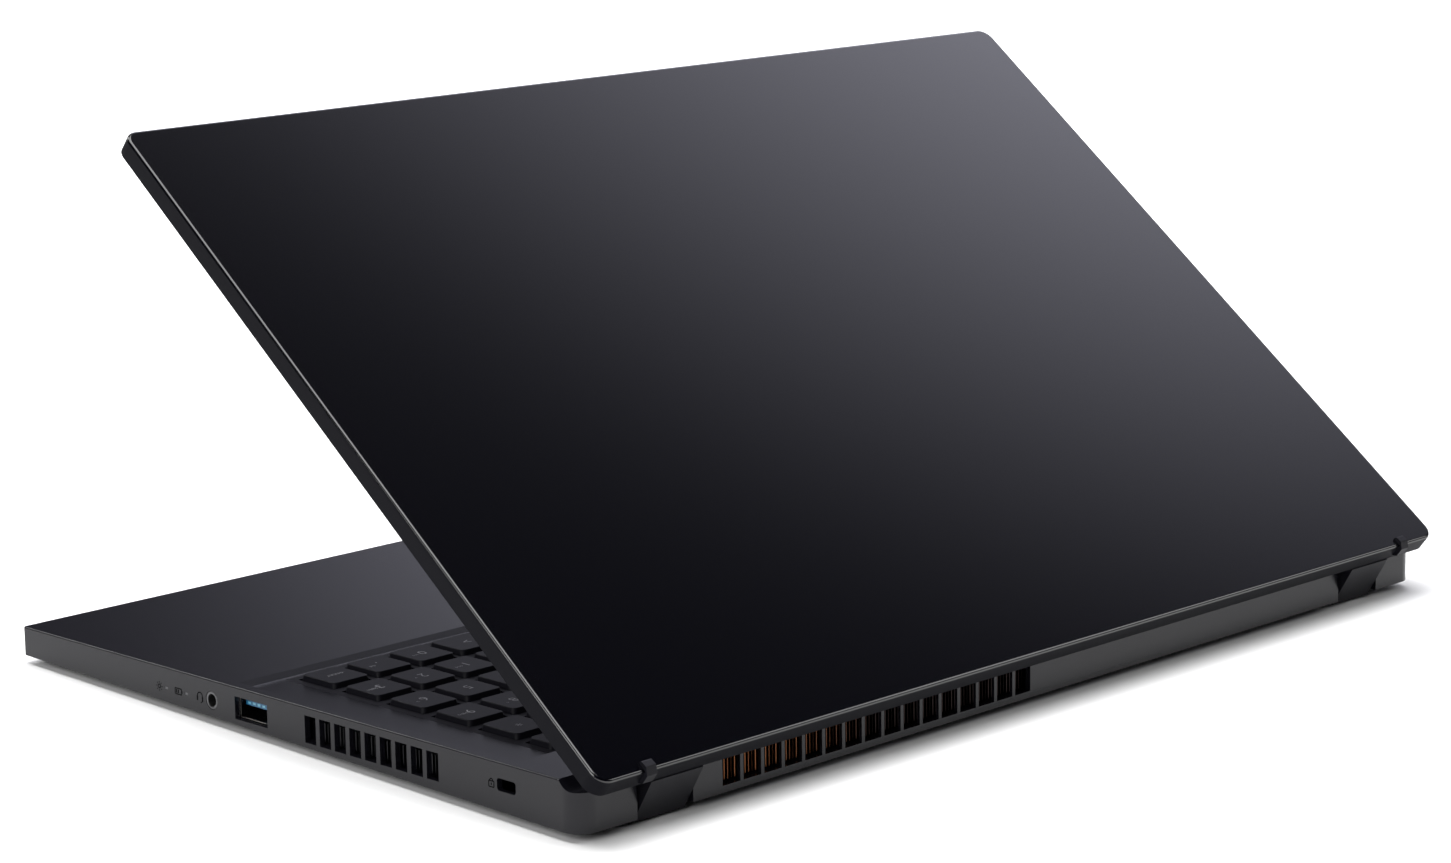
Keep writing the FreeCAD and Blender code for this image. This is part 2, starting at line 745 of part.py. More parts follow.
# Mainboard and what sits on it.
board = body("mainboard", BASE)
board_z = ("board_top - board_thick", "board_top")
under_board = "board_top - board_thick"
block(board, ("-board_edge", "6"), ("board_front", "board_rear"), board_z)
daughter = body("port_board", BASE)
block(daughter, ("140", "board_edge"), ("-56", "2"), board_z)
sticks = body("memory_modules", BASE)
for y in (24, 57):
    block(sticks, ("-150", "-82"), (str(y), str(y + 30)), (under_board + " - 3.0", under_board))
drive = body("storage_drive", BASE)
block(drive, ("-76", "4"), ("8", "30"), (under_board + " - 2.3", under_board))
radio = body("wireless_card", BASE)
block(radio, ("-76", "-54"), ("34", "64"), (under_board + " - 1.8", under_board))
chips = body("processors", BASE)
chip_z = (under_board + " - chip_tall", under_board)
block(chips, ("-57", "-36"), ("72", "93"), chip_z)
block(chips, ("-31", "-12"), ("73", "92"), chip_z)
spreader = body("cold_plate", BASE)
block(spreader, ("-60", "-8"), ("pipe_y - 27", "pipe_y"), (chip_z[0] + " - spreader_thick", chip_z[0]))
pipes = body("heat_pipes", BASE)
for n in range(2):
    pipe_front = "pipe_y + %d * pipe_step" % n
    block(pipes, ("-58", "128"), (pipe_front, pipe_front + " + pipe_wide"),
          (chip_z[0] + " - pipe_thick", chip_z[0]))

# Fin stacks behind the rear and side vents.
fins = body("rear_fin_stack", BASE)
fin_x = ("rear_vent_x + 0.5", "rear_vent_x + 15 * rear_vent_pitch + rear_vent_wide + 0.2")
fin_y = ("pipe_y + pipe_step + pipe_wide", "depth / 2 - wall - fin_gap")
block(fins, fin_x, fin_y, ("rear_fin_top - fin_skin", "rear_fin_top"))
block(fins, fin_x, fin_y, ("rear_fin_low", "rear_fin_low + fin_skin"))
blade = block(fins, (fin_x[0], fin_x[0] + " + fin_thick"), fin_y,
              ("rear_fin_low + fin_skin / 2", "rear_fin_top - fin_skin / 2"))
repeat(fins, blade, "X_Axis", span(fin_x) + " - fin_thick", 52)
fins = body("side_fin_stack", BASE)
fin_x = ("fan_right_x + fan_size / 2 + 1", "width / 2 - wall - fin_gap")
fin_y = ("side_vent_y - 0.7", "side_vent_y + 8 * side_vent_pitch + side_vent_wide + 1.2")
block(fins, fin_x, fin_y, ("side_fin_top - fin_skin", "side_fin_top"))
block(fins, fin_x, fin_y, ("side_fin_low", "side_fin_low + fin_skin"))
blade = block(fins, fin_x, (fin_y[0], fin_y[0] + " + fin_thick"),
              ("side_fin_low + fin_skin / 2", "side_fin_top - fin_skin / 2"))
repeat(fins, blade, "Y_Axis", span(fin_y) + " - fin_thick", 25)

# Two blowers: housing with a stub shaft, and a rotor drawn about its own axis.
for side, x in (("right", "fan_right_x"), ("middle", "fan_middle_x")):
    housing = body("fan_housing_" + side, BASE)
    low = "fan_top - fan_tall"
    room_z = (low + " + fan_skin", "fan_top - fan_skin")
    block(housing, (x + " - fan_size / 2", x + " + fan_size / 2"),
          ("fan_y - fan_size / 2", "fan_y + fan_size / 2"), (low, "fan_top"))
    rod(housing, "fan_bore", x, "fan_y", room_z, "z", cut=True)
    rod(housing, "fan_inlet", x, "fan_y", (low + " - 1", low + " + 2"), "z", cut=True)
    block(housing, (x + " - fan_outlet / 2", x + " + fan_outlet / 2"),
          ("fan_y", "fan_y + fan_size"), room_z, cut=True)
    if side == "right":
        block(housing, (x, x + " + fan_size"), ("fan_y - fan_outlet / 2", "fan_y"), room_z, cut=True)
    rod(housing, "pin_radius", x, "fan_y", ("fan_top - fan_skin - 3.8", "fan_top - fan_skin / 2"), "z")
    rotor = body("fan_rotor_" + side, [])
    ROTORS.append((rotor, x))
    rod(rotor, "hub_radius", "0", "0", ("-4.6", "-1"), "z")
    blade = block(rotor, ("hub_radius - 0.5", "rotor_radius"),
                  ("-blade_thick / 2", "blade_thick / 2"), ("-4.4", "-1.2"))
    ring_of(rotor, blade, 30)
    rod(rotor, "pin_radius + pin_room", "0", "0", ("-6", OVER), "z", cut=True)

# Battery and speakers in the front half.
cells = body("battery_pack", BASE)
block(cells, ("cell_x - cell_wide / 2", "cell_x + cell_wide / 2"), ("cell_front", "cell_front + cell_deep"),
      ("cell_top - cell_thick", "cell_top"))
sound = body("speakers", BASE)
for sign in (1, -1):
    block(sound, across("speaker_in", "speaker_in + speaker_wide", sign),
          ("speaker_front", "speaker_front + speaker_deep"), ("speaker_low", "-deck_plate"))

# Sockets. Metal shells open outward, with tongues inside.
RIGHT_X = ("board_edge", "width / 2 - usb_sink")
LEFT_X = ("-width / 2 + port_sink", "-board_edge")


def hollow_socket(owner, x, y, z, skin, outward):
    block(owner, x, y, z)
    inner_x = (x[0] + " + 2", x[1] + " + 1") if outward > 0 else (x[0] + " - 1", x[1] + " - 2")
    block(owner, inner_x, grown(y, "-(%s)" % skin), grown(z, "-(%s)" % skin), cut=True)


hollow_socket(body("right_usb_port", BASE), RIGHT_X, USB_Y, USB_Z, "port_skin", 1)
pair = body("left_usb_ports", BASE)
tongues = body("usb_tongues", BASE)
block(tongues, ("board_edge + 2", "width / 2 - tongue_sink"), grown(USB_Y, "-tongue_side"),
      (USB_Z[1] + " - tongue_drop - tongue_thick", USB_Z[1] + " - tongue_drop"))
for name in ("usb_rear", "usb_front"):
    y, z = port_span(name)
    hollow_socket(pair, LEFT_X, y, z, "port_skin", -1)
    block(tongues, ("-width / 2 + tongue_sink", "-board_edge - 2"), grown(y, "-tongue_side"),
          (z[1] + " - tongue_drop - tongue_thick", z[1] + " - tongue_drop"))
SOCKET_SKINS = {"power_inlet": "1.2", "network_port": "1.6", "video_port": "0.5", "reversible_port": "0.4"}
for name, skin in SOCKET_SKINS.items():
    y, z = port_span(name)
    made = body(name, BASE)
    hollow_socket(made, LEFT_X, y, z, skin, -1)
    middle_y = "(%s + %s) / 2" % y
    middle_z = "(%s + %s) / 2" % z
    if name == "power_inlet":
        rod(made, "0.8", ("-width / 2 + 2.5", "-board_edge - 1"), middle_y, middle_z, "x")
    if name == "video_port":
        block(made, ("-width / 2 + 2", "-board_edge - 1"), grown(y, "-3"),
              (middle_z + " - 0.5", middle_z + " + 0.5"))
    if name == "reversible_port":
        block(made, ("-width / 2 + 1.4", "-board_edge - 1"), grown(y, "-1.4"),
              (middle_z + " - 0.35", middle_z + " + 0.35"))
jack = body("audio_jack", BASE)
block(jack, ("board_edge", "width / 2 - wall - jack_fit"), ("jack_y - 3.4", "jack_y + 3.4"),
      ("jack_z - 3", "jack_z + 3"))
rod(jack, "jack_nose", ("width / 2 - wall - 0.6", "width / 2 - jack_fit"), "jack_y", "jack_z", "x")
rod(jack, "jack_bore", ("board_edge + 2", "width / 2 + 1"), "jack_y", "jack_z", "x", cut=True)
lights = body("status_lights", BASE)
for light_span in LIGHTS:
    block(lights, ("width / 2 - wall - 1", "width / 2 - 0.1"), light_span, LIGHT_Z)

# Lid pieces, drawn shut.
INNER = "axis_z + lid_inner"
OUTER = "axis_z + lid_inner + lid_thick"
TAIL = AXIS_Y + " + lid_back"
NOSE = AXIS_Y + " + lid_back - lid_length"
LID_Y = (NOSE, TAIL)
outer_level = total(OUTER)
lid = body("lid_back_cover", LID)
block(lid, HALF_X, LID_Y, (INNER + " + lid_step", OUTER))
round_edges(lid, "lid_corner", upright)
round_edges(lid, "lid_round", on_z(outer_level))
rounded_pocket(lid, grown(HALF_X, "-lid_wall"), grown(LID_Y, "-lid_wall"),
               (INNER, OUTER + " - lid_skin"), "lid_corner - lid_wall")
bezel = body("lid_bezel", LID)
through = (INNER + " - 1", INNER + " + 3")
block(bezel, grown(HALF_X, "-lid_wall - bezel_fit"), grown(LID_Y, "-lid_wall - bezel_fit"),
      (INNER, INNER + " + bezel_plate"))
round_edges(bezel, "lid_corner - lid_wall", upright)
block(bezel, ("-screen_wide / 2", "screen_wide / 2"),
      (TAIL + " - screen_chin - screen_tall", TAIL + " - screen_chin"), through, cut=True)
rod(bezel, "camera_hole", "0", NOSE + " + camera_in", through, "z", cut=True)
for sign in (1, -1):
    window_x = across("notch_in + arm_from - 0.5", "notch_in + arm_from + arm_wide + 0.5", sign)
    block(bezel, window_x, (AXIS_Y + " - 2.6", AXIS_Y + " + 5"), through, cut=True)
screen = body("display_panel", LID)
block(screen, ("-panel_wide / 2", "panel_wide / 2"),
      (TAIL + " - panel_chin - panel_tall", TAIL + " - panel_chin"),
      (INNER + " + bezel_plate", OUTER + " - lid_skin - panel_gap"))
eye = body("camera_module", LID)
block(eye, ("-camera_wide / 2", "camera_wide / 2"),
      (NOSE + " + camera_in - camera_tall / 2 - 0.1", NOSE + " + camera_in + camera_tall / 2 - 0.1"),
      (INNER + " + bezel_plate", INNER + " + bezel_plate + 1.8"))
rod(eye, "camera_lens", "0", NOSE + " + camera_in", (INNER + " + 0.3", INNER + " + bezel_plate + 0.5"), "z")
pads = body("bezel_pads", LID)
for x in (-150, -60, 60, 150):
    block(pads, ("%d - bezel_pad_wide / 2" % x, "%d + bezel_pad_wide / 2" % x),
          (NOSE + " + 4", NOSE + " + 6.5"), (INNER + " - bezel_pad_lift", INNER))
tabs = body("lid_edge_tabs", LID)
for sign in (1, -1):
    prism(tabs, [
        (TAIL + " - tab_in", OUTER),
        (TAIL + " - tab_in + 0.4", OUTER + " + tab_lift - 0.2"),
        (TAIL + " - 0.5", OUTER + " + tab_lift"),
        (TAIL + " + tab_out", OUTER + " - 0.5"),
        (TAIL + " + tab_out", INNER + " + 2.2"),
        (TAIL, INNER + " + 1.2"),
        (TAIL, OUTER),
    ], across("tab_x", "tab_x + tab_wide", sign))
tail_line = total(TAIL)


def outer_tab_edge(edge):
    box = edge.BoundBox
    outside = box.ZMin > outer_level + 0.2 or box.YMin > tail_line + 0.2
    return outside and box.XLength > size("tab_wide") - 0.01


round_edges(tabs, "tab_round", outer_tab_edge)

# Hinge covers, shafts and the steel arms that carry the lid.
for side, sign in (("right", 1), ("left", -1)):
    cover = body("hinge_cover_" + side, LID)
    cover_x = across("notch_in + cover_gap", "notch_in + notch_wide - cover_gap", sign)
    shaft_x = across("notch_in + 1.5", "notch_in + arm_from + arm_wide + 0.4", sign)
    arm_x = across("notch_in + arm_from", "notch_in + arm_from + arm_wide", sign)
    room_x = across("notch_in + arm_from - arm_room", "notch_in + arm_from + arm_wide + arm_room", sign)
    knuckle_x = across("notch_in + knuckle_from - knuckle_room",
                       "notch_in + knuckle_from + knuckle_wide + knuckle_room", sign)
    prism(cover, [
        (TAIL + " + 0.3", INNER),
        (TAIL + " + cover_lean", "axis_z - cover_deep"),
        (TAIL + " - 0.5", "axis_z - cover_deep - 0.8"),
        (AXIS_Y + " - 4", "axis_z - 5"),
        (AXIS_Y + " - 5.4", INNER),
    ], cover_x)
    block(cover, knuckle_x, (AXIS_Y + " - 10", AXIS_Y + " + 3.1"),
          ("axis_z - cover_deep - 3", "axis_z + 4.4"), cut=True)
    rod(cover, "shaft_radius", shaft_x, AXIS_Y, "axis_z", "x", cut=True)
    rod(cover, "arm_radius + arm_room", room_x, AXIS_Y, "axis_z", "x", cut=True)
    block(cover, room_x, (AXIS_Y + " - 2 - arm_room", AXIS_Y + " + 1.6 + arm_room"),
          ("axis_z", INNER + " + 1"), cut=True)
    shaft = body("hinge_shaft_" + side, LID)
    rod(shaft, "shaft_radius", shaft_x, AXIS_Y, "axis_z", "x")
    arm = body("hinge_arm_" + side, LID)
    arm_top = OUTER + " - lid_skin"
    rod(arm, "arm_radius", arm_x, AXIS_Y, "axis_z", "x")
    block(arm, arm_x, (AXIS_Y + " - 2", AXIS_Y + " + 1.6"), ("axis_z", arm_top))
    block(arm, across("notch_in - 22", "notch_in + arm_from + arm_wide", sign),
          (TAIL + " - 25.5", TAIL + " - 2"), (arm_top + " - bracket_thick", arm_top))
    rod(arm, "shaft_radius", across("notch_in + 10", "notch_in + notch_wide", sign),
        AXIS_Y, "axis_z", "x", cut=True)

# Stand on the table: the deck slopes to the front, the lid is turned open.
LIFT = "foot_height + rear_height * cos(deck_slope) - depth / 2 * sin(deck_slope)"
TURN = "(deck_slope - open_angle)"
HINGE_Y = "(%s)" % AXIS_Y
for made in BASE:
    made.Placement = Placement(Vector(0, 0, 0), Rotation(Vector(1, 0, 0), 1))
    bind(made, **{
        "Placement.Rotation.Angle": "deck_slope",
        "Placement.Base.y": "center_shift",
        "Placement.Base.z": LIFT,
    })
for made, x in ROTORS:
    made.Placement = Placement(Vector(0, 0, 0), Rotation(Vector(1, 0, 0), 1))
    bind(made, **{
        "Placement.Rotation.Angle": "deck_slope",
        "Placement.Base.x": x,
        "Placement.Base.y": "center_shift + fan_y * cos(deck_slope) - fan_top * sin(deck_slope)",
        "Placement.Base.z": LIFT + " + fan_y * sin(deck_slope) + fan_top * cos(deck_slope)",
    })
for made in LID:
    made.Placement = Placement(Vector(0, 0, 0), Rotation(Vector(-1, 0, 0), 1))
    bind(made, **{
        "Placement.Rotation.Angle": "open_angle - deck_slope",
        "Placement.Base.y": "center_shift + %s * cos(deck_slope) - axis_z * sin(deck_slope)" % HINGE_Y
                            + " - (%s * cos(%s) - axis_z * sin(%s))" % (HINGE_Y, TURN, TURN),
        "Placement.Base.z": LIFT + " + %s * sin(deck_slope) + axis_z * cos(deck_slope)" % HINGE_Y
                            + " - (%s * sin(%s) + axis_z * cos(%s))" % (HINGE_Y, TURN, TURN),
    })
doc.recompute()

# Check and write each piece.
for item in doc.Objects:
    if "Invalid" in item.State or "Error" in item.State:
        raise RuntimeError("broken feature " + item.Name)
os.makedirs("parts", exist_ok=True)
for made in BASE + LID + [rotor for rotor, x in ROTORS]:
    if made.Shape.isNull() or not made.Shape.isValid() or not made.Shape.Solids:
        raise RuntimeError("bad shape " + made.Label)
    made.Shape.exportStep("parts/%s.step" % made.Label)
    print(made.Label, len(made.Shape.Solids), round(made.Shape.Volume, 1))
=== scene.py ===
import math

import bpy
from mathutils import Matrix, Vector


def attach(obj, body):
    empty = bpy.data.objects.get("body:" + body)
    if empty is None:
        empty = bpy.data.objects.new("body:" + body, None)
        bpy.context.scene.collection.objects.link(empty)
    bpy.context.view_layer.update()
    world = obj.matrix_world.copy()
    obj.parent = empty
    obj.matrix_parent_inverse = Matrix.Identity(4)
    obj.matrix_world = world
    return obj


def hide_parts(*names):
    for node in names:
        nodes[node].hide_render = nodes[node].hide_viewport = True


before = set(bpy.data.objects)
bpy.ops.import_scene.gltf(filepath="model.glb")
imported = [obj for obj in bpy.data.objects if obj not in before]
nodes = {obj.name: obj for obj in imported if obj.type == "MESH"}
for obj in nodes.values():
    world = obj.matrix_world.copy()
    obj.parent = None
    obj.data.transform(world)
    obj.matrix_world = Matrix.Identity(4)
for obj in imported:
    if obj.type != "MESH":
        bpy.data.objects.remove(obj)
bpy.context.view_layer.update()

# Case shells: the upper case with deck and walls, the bottom tray and the key grid.
# Moulded plastic, graphite with a fine spark-eroded grain.
# The tray is screwed to the upper case from below, and the grid sits in the sunk key well.
millimetre = 0.001


def mix_colours(tree, share, first, second):
    mixer = tree.nodes.new("ShaderNodeMix")
    mixer.data_type = "RGBA"
    given = {socket.identifier: socket for socket in mixer.inputs}
    tree.links.new(share, given["Factor_Float"])
    for end, colour in (("A_Color", first), ("B_Color", second)):
        if isinstance(colour, bpy.types.NodeSocket):
            tree.links.new(colour, given[end])
        else:
            given[end].default_value = colour + (1,)
    return next(socket for socket in mixer.outputs if socket.identifier == "Result_Color")


def grained_plastic(name, colour, rough, grain_per_mm, grain_height, speckle=0.12, shine=0.5):
    made = bpy.data.materials.new(name)
    made.use_nodes = True
    tree = made.node_tree
    shader = tree.nodes["Principled BSDF"]
    shader.inputs["Roughness"].default_value = rough
    shader.inputs["Specular IOR Level"].default_value = shine
    place = tree.nodes.new("ShaderNodeTexCoord")
    grain = tree.nodes.new("ShaderNodeTexNoise")
    grain.inputs["Scale"].default_value = grain_per_mm / millimetre
    grain.inputs["Detail"].default_value = 2.0
    tree.links.new(place.outputs["Object"], grain.inputs["Vector"])
    dark = tuple(c * (1 - speckle) for c in colour)
    light = tuple(c * (1 + speckle) for c in colour)
    tree.links.new(mix_colours(tree, grain.outputs["Fac"], dark, light), shader.inputs["Base Color"])
    bump = tree.nodes.new("ShaderNodeBump")
    bump.inputs["Strength"].default_value = 0.25
    bump.inputs["Distance"].default_value = grain_height
    tree.links.new(grain.outputs["Fac"], bump.inputs["Height"])
    tree.links.new(bump.outputs["Normal"], shader.inputs["Normal"])
    return made


def dress(material, *names):
    for name in names:
        slots = nodes[name].data.materials
        slots.clear()
        slots.append(material)


graphite = (0.0056, 0.0054, 0.008)
case_plastic = grained_plastic("graphite case plastic", graphite, rough=0.27, grain_per_mm=3.0,
                               grain_height=0.00001, shine=0.26)
dress(case_plastic, "upper_case", "bottom_case")
grid_plastic = grained_plastic("matt key grid plastic", graphite, rough=0.5, grain_per_mm=3.0,
                               grain_height=0.00001, shine=0.1)
dress(grid_plastic, "keyboard_frame")

# Rubber feet below the tray and the soft pads round the screen.
# Black elastomer strips, glued in shallow seats.
rubber_black = (0.015, 0.015, 0.015)
soft_rubber = grained_plastic("black rubber", rubber_black, rough=0.8, grain_per_mm=1.2,
                              grain_height=0.00004)
dress(soft_rubber, "rubber_feet", "bezel_pads")

# Metal that shows: socket shells, screws, hinge steel and the plates below keys and touchpad.
# Stamped or turned steel, with faint rolling lines; the socket shells are painted darker, a painted shade
# for the inside of the sockets.
steel_grey, shaded_shell_grey = (0.5, 0.5, 0.51), (0.06, 0.06, 0.062)


def ramp(tree, source, low, high, at_low=0.0, at_high=1.0, shape="SMOOTHSTEP"):
    made = tree.nodes.new("ShaderNodeMapRange")
    made.interpolation_type = shape
    made.inputs["From Min"].default_value = low
    made.inputs["From Max"].default_value = high
    made.inputs["To Min"].default_value = at_low
    made.inputs["To Max"].default_value = at_high
    tree.links.new(source, made.inputs["Value"])
    return made.outputs["Result"]


def rolled_metal(name, colour, rough, rough_change=0.08):
    made = bpy.data.materials.new(name)
    made.use_nodes = True
    tree = made.node_tree
    shader = tree.nodes["Principled BSDF"]
    shader.inputs["Metallic"].default_value = 1.0
    shader.inputs["Base Color"].default_value = colour + (1,)
    place = tree.nodes.new("ShaderNodeTexCoord")
    stretch = tree.nodes.new("ShaderNodeMapping")
    stretch.inputs["Scale"].default_value = (60, 900, 900)
    lines = tree.nodes.new("ShaderNodeTexNoise")
    lines.inputs["Scale"].default_value = 3.0
    tree.links.new(place.outputs["Object"], stretch.inputs["Vector"])
    tree.links.new(stretch.outputs["Vector"], lines.inputs["Vector"])
    smooth, dull = rough - rough_change, rough + rough_change
    streaks = ramp(tree, lines.outputs["Fac"], 0.0, 1.0, smooth, dull, shape="LINEAR")
    tree.links.new(streaks, shader.inputs["Roughness"])
    return made


steel = rolled_metal("stamped steel", steel_grey, rough=0.35)
dress(steel, "bottom_screws", "keyboard_plate", "touchpad_bracket", "hinge_bracket_right",
      "hinge_bracket_left", "hinge_shaft_right", "hinge_shaft_left", "hinge_arm_right", "hinge_arm_left")
# The socket shells' steel is painted dark: painted shade inside the sockets.
shaded_shell_steel = rolled_metal("socket shell with painted shade", shaded_shell_grey, rough=0.3)
dress(shaded_shell_steel, "right_usb_port", "left_usb_ports", "video_port", "reversible_port")

# Boards, cards and chips inside: glass fibre board with dark solder mask.
# Screwed to bosses of the upper case, hidden once the tray is on.
mask_green = (0.01, 0.05, 0.03)
board_mask = grained_plastic("dark green solder mask", mask_green, rough=0.4, grain_per_mm=0.6,
                             grain_height=0.00002, speckle=0.3)
dress(board_mask, "mainboard", "port_board", "memory_modules", "storage_drive", "wireless_card",
      "processors")

# Heat plate, heat pipes and blowers, with the speakers in the same black plastic.
# Bare copper soldered together; housings and rotors are moulded.
copper = rolled_metal("bare copper", (0.75, 0.33, 0.16), rough=0.3)
dress(copper, "cold_plate", "heat_pipes")
blower_plastic = grained_plastic("blower plastic", (0.012, 0.012, 0.012), rough=0.5, grain_per_mm=2.0,
                                 grain_height=0.00002)
dress(blower_plastic, "fan_housing_right", "fan_housing_middle", "fan_rotor_right", "fan_rotor_middle",
      "speakers")

# Fin stacks: thin stamped fins soldered in a row behind the rear and side vents.
# Copper at the rear, with a painted glint: bright orange toward the right wall, and painted darker as shade
# toward the middle of the case; aluminium at the side, painted dark as shade inside the side vents.
# Like all pieces drawn here, they are set on the deck, which leans to the front.
deck_lean = math.radians(1.25)
deck_back, deck_height = -0.00444, 0.01383
deck_place = Matrix.Translation((0, deck_back, deck_height)) @ Matrix.Rotation(deck_lean, 4, "X")


def stand(name, mesh):
    piece = bpy.data.objects.new(name, mesh)
    bpy.context.scene.collection.objects.link(piece)
    return piece


def fin_row_tree(name, material):
    tree = bpy.data.node_groups.new(name, "GeometryNodeTree")
    tree.interface.new_socket("Fins", in_out="INPUT", socket_type="NodeSocketInt")
    tree.interface.new_socket("First fin", in_out="INPUT", socket_type="NodeSocketVector")
    tree.interface.new_socket("Step", in_out="INPUT", socket_type="NodeSocketVector")
    tree.interface.new_socket("Fin size", in_out="INPUT", socket_type="NodeSocketVector")
    tree.interface.new_socket("Geometry", in_out="OUTPUT", socket_type="NodeSocketGeometry")
    given = tree.nodes.new("NodeGroupInput")
    made = tree.nodes.new("NodeGroupOutput")
    line = tree.nodes.new("GeometryNodeMeshLine")
    fin = tree.nodes.new("GeometryNodeMeshCube")
    spread = tree.nodes.new("GeometryNodeInstanceOnPoints")
    solid = tree.nodes.new("GeometryNodeRealizeInstances")
    paint = tree.nodes.new("GeometryNodeSetMaterial")
    paint.inputs["Material"].default_value = material
    tree.links.new(given.outputs["Fins"], line.inputs["Count"])
    tree.links.new(given.outputs["First fin"], line.inputs["Start Location"])
    tree.links.new(given.outputs["Step"], line.inputs["Offset"])
    tree.links.new(given.outputs["Fin size"], fin.inputs["Size"])
    tree.links.new(line.outputs["Mesh"], spread.inputs["Points"])
    tree.links.new(fin.outputs["Mesh"], spread.inputs["Instance"])
    tree.links.new(spread.outputs["Instances"], solid.inputs["Geometry"])
    tree.links.new(solid.outputs["Geometry"], paint.inputs["Geometry"])
    tree.links.new(paint.outputs["Geometry"], made.inputs["Geometry"])
    return tree


def fin_row(name, material, count, first, step, size):
    tree = fin_row_tree(name, material)
    holder = stand(name + "_holder", bpy.data.meshes.new(name + "_holder"))
    grow = holder.modifiers.new("fins", "NODES")
    grow.node_group = tree
    values = {"Fins": count, "First fin": first, "Step": step, "Fin size": size}
    for socket in tree.interface.items_tree:
        if socket.in_out == "INPUT":
            grow[socket.identifier] = values[socket.name]
    look = bpy.context.evaluated_depsgraph_get()
    mesh = bpy.data.meshes.new_from_object(holder.evaluated_get(look))
    bpy.data.objects.remove(holder)
    mesh.transform(deck_place)
    mesh.name = name
    return stand(name, mesh)


fin_thick, fin_pitch = 0.00025, 0.0013
# The rear fin colour is painted light: bright orange near the right wall is a painted glint, dark brown
# toward the middle is painted shade.
glint_copper, shaded_copper = (0.2, 0.075, 0.03), (0.02, 0.013, 0.012)
glint_end, shade_end = 0.115, 0.07
glint_fin_copper = rolled_metal("copper with painted glint and shade", glint_copper, rough=0.3)
tree = glint_fin_copper.node_tree
along = tree.nodes.new("ShaderNodeTexCoord")
across = tree.nodes.new("ShaderNodeSeparateXYZ")
tree.links.new(along.outputs["Object"], across.inputs["Vector"])
glint_share = ramp(tree, across.outputs["X"], shade_end, glint_end, shape="LINEAR")
glint_and_shade = mix_colours(tree, glint_share, shaded_copper, glint_copper)
tree.links.new(glint_and_shade, tree.nodes["Principled BSDF"].inputs["Base Color"])
rear_count, rear_deep, rear_high = 95, 0.0135, 0.007
rear_first = (0.0075, 0.1108, -0.0078)
rear_fins = fin_row("rear_fins", glint_fin_copper, rear_count, rear_first, (fin_pitch, 0, 0),
                    (fin_thick, rear_deep, rear_high))
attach(rear_fins, "base")
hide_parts("rear_fin_stack")
# The side fins' aluminium is painted near black: painted shade inside the side vents.
shaded_fin_aluminium = rolled_metal("aluminium with painted shade", (0.05, 0.05, 0.053), rough=0.4)
side_count, side_deep, side_high = 44, 0.018, 0.0054
side_first = (0.1690, 0.0108, -0.0071)
side_fins = fin_row("side_fins", shaded_fin_aluminium, side_count, side_first, (0, fin_pitch, 0),
                    (side_deep, fin_thick, side_high))
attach(side_fins, "base")
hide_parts("side_fin_stack")

# Battery: a flat pack of pouch cells, laid in the front half of the case.
# One slab, wrapped in a black film with a slight crinkle.
cell_film = grained_plastic("black cell film", (0.02, 0.02, 0.021), rough=0.35, grain_per_mm=0.4,
                            grain_height=0.00005)
dress(cell_film, "battery_pack")

# Moulded sockets, the blue tongues of the fast sockets and the status lights.
# Black insulators, blue tongue, clear diffusing light pipes flush with the wall.
socket_black = grained_plastic("socket insulator", (0.01, 0.01, 0.01), rough=0.4, grain_per_mm=2.0,
                               grain_height=0.00002)
dress(socket_black, "power_inlet", "network_port", "audio_jack")
tongue_blue = grained_plastic("blue tongue", (0.003, 0.09, 0.2), rough=0.35, grain_per_mm=2.0,
                              grain_height=0.00002)
dress(tongue_blue, "usb_tongues")
light_pipe = grained_plastic("clear light pipe", (0.07, 0.07, 0.075), rough=0.4, grain_per_mm=2.0,
                             grain_height=0.00001)
dress(light_pipe, "status_lights")

# Keys and touchpad: matt black caps in six rows, each group one moving body.
# Injection moulded caps, laser-marked; the pad is a satin glass-filled plate.
key_black, pad_black = (0.0055, 0.0053, 0.008), (0.0095, 0.0093, 0.012)
key_plastic = grained_plastic("matt key plastic", key_black, rough=0.5, grain_per_mm=4.0,
                              grain_height=0.00001, shine=0.12)
dress(key_plastic, "modifier_keys", "space_bar", "arrow_keys", "lower_letter_keys", "home_letter_keys",
      "enter_key", "upper_letter_keys", "number_keys", "backspace_key", "function_keys", "number_pad_keys",
      "power_button")
touch_face = grained_plastic("satin touch plate", pad_black, rough=0.35, grain_per_mm=5.0,
                             grain_height=0.00001)
dress(touch_face, "touchpad")

